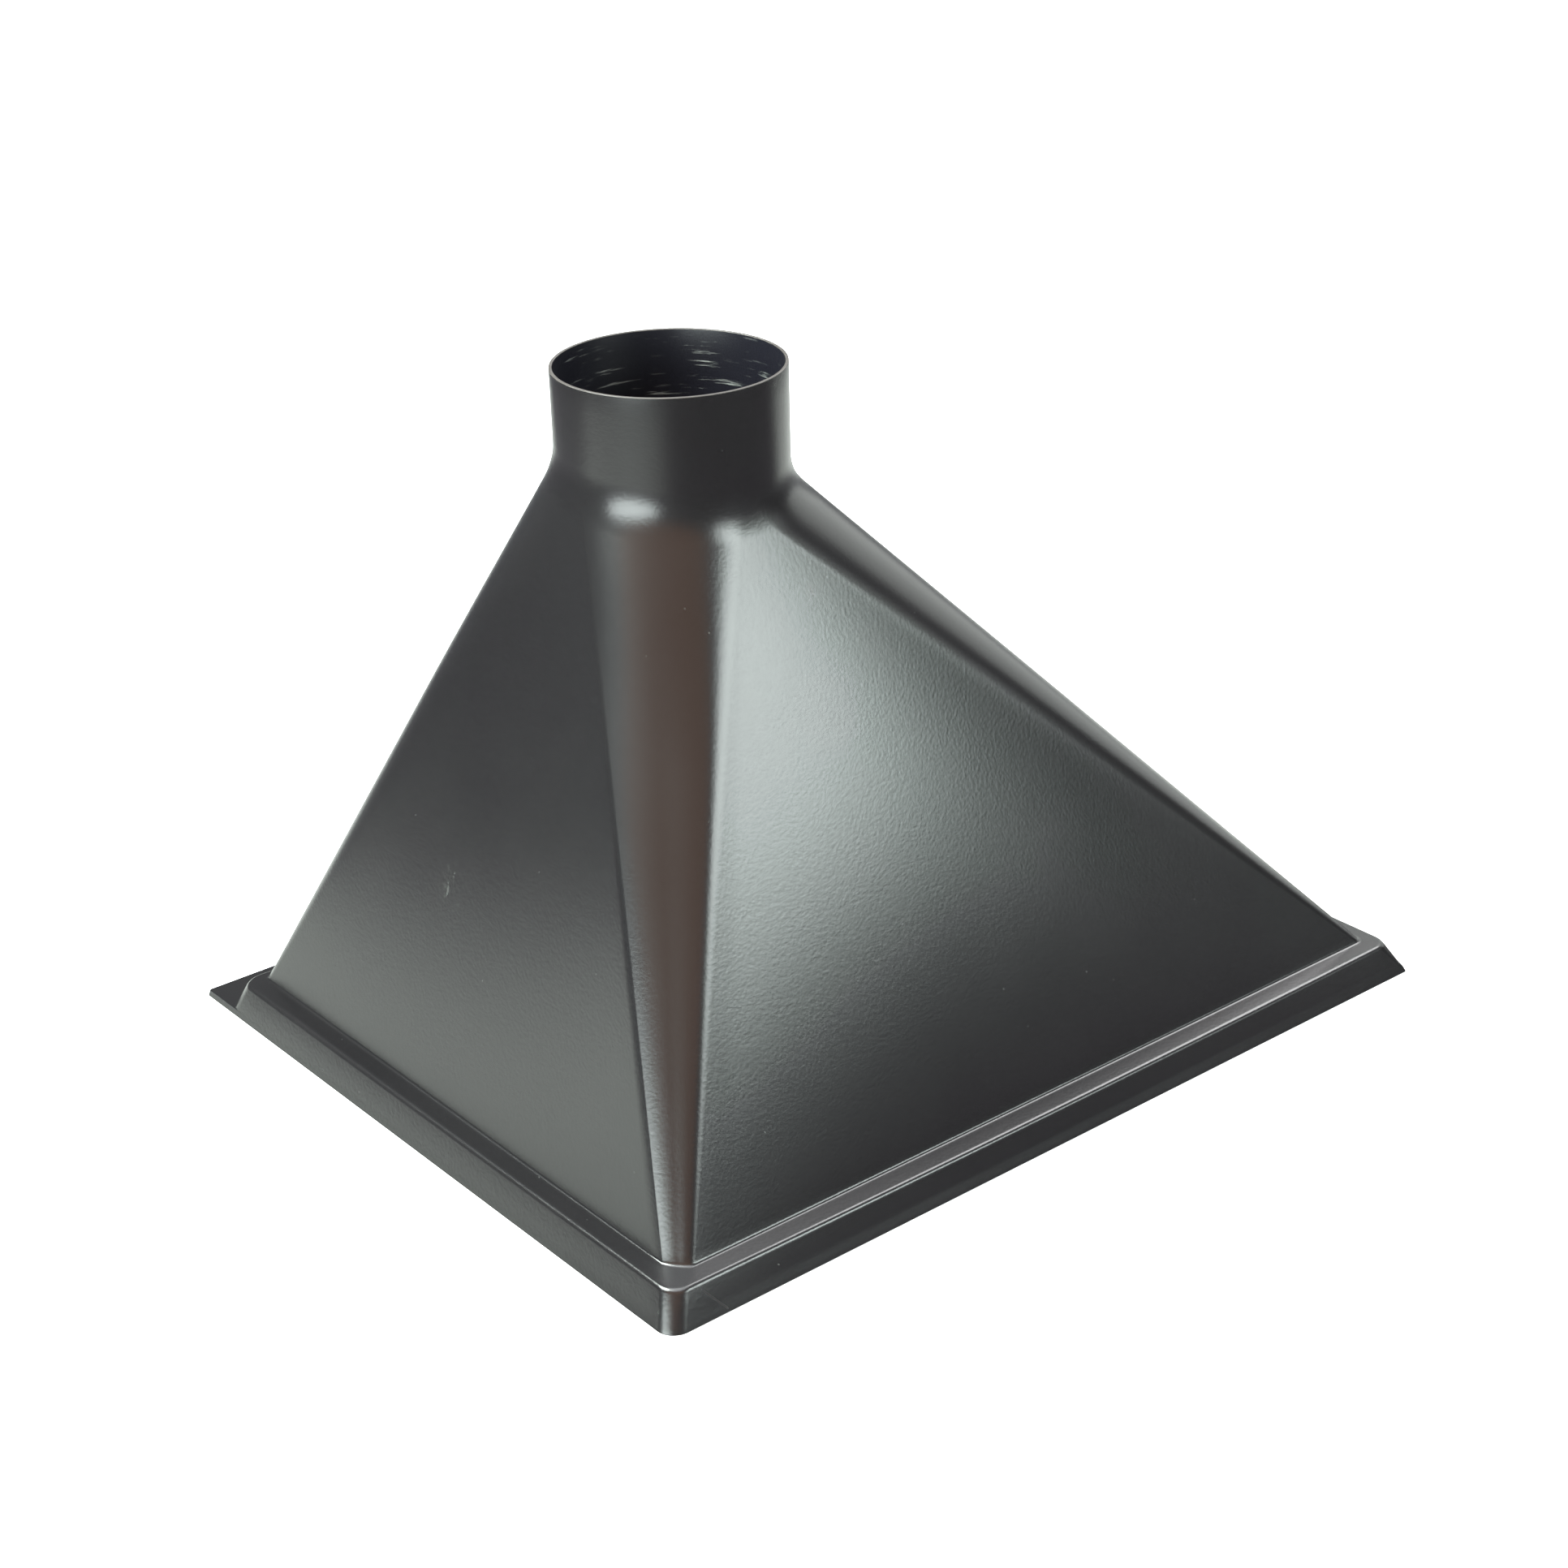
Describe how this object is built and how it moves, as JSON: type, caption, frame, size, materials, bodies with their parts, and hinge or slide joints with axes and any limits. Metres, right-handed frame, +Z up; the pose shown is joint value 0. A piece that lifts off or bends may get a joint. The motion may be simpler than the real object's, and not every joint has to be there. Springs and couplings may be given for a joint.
{
  "type": "extraction hood",
  "caption": "One-piece vacuum-formed plastic hood that narrows from an oblong open mouth with a stepped skirt and rear flange to an offset round hose spigot.",
  "frame": {"origin": "bottom centre of the whole part, on the plane that the mouth's edge and the flange lie on", "axes": "+X along the long side of the mouth, away from the end the spigot is nearer to; +Y towards the flange side; +Z up along the spigot's axis"},
  "size_m": [0.447, 0.368, 0.3277],
  "materials": {
    "black_abs": "satin black ABS sheet, vacuum formed, with a fine orange-peel surface and pale trimmed edges"
  },
  "bodies": {
    "root": {"hood_shell": "black_abs"}
  },
  "joints": []
}
